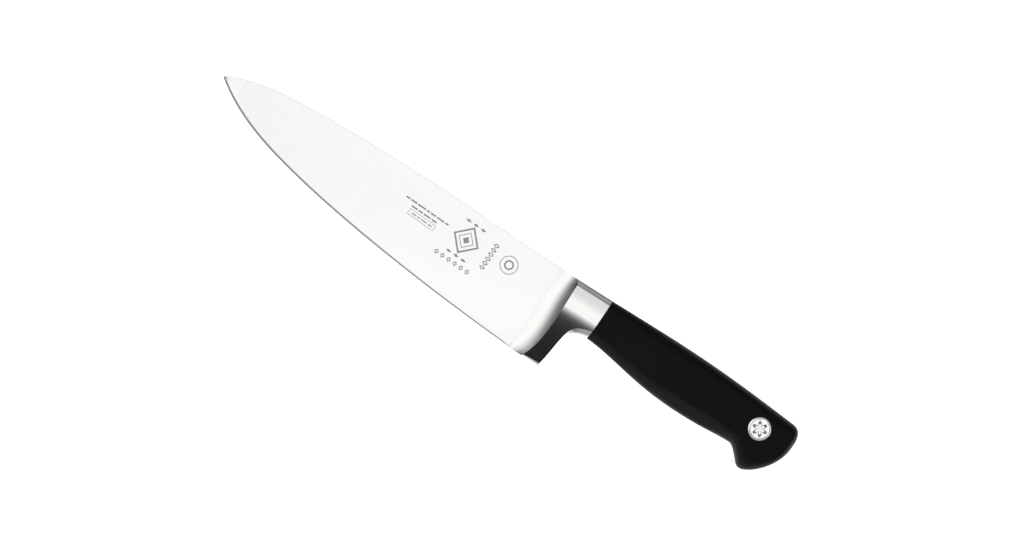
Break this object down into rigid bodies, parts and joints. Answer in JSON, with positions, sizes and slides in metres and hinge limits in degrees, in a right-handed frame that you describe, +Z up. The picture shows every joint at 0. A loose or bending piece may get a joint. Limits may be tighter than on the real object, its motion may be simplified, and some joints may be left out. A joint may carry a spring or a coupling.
{
  "type": "chef's knife",
  "caption": "Forged chef's knife lying on its side, with a full bolster and finger guard, and a black soft moulded handle with a hooked butt and a metal medallion.",
  "frame": {"origin": "centre of the knife's outline, on the surface that it lies on", "axes": "+X from the blade's tip to the butt, +Y from the cutting edge to the spine, +Z up, from the knife's right side to its left side"},
  "size_m": [0.3362, 0.0494, 0.02],
  "materials": {
    "blade_steel": "satin",
    "soft_grip": "matte",
    "core_plastic": "matte",
    "pin_steel": "plain",
    "medallion_steel": "satin"
  },
  "bodies": {
    "root": {"forged_blade": "blade_steel", "core_left": "core_plastic", "core_right": "core_plastic", "core_pin_front": "pin_steel", "core_pin_rear": "pin_steel", "grip": "soft_grip", "medallion_rivet_female": "medallion_steel", "medallion_rivet_male": "medallion_steel"}
  },
  "joints": []
}
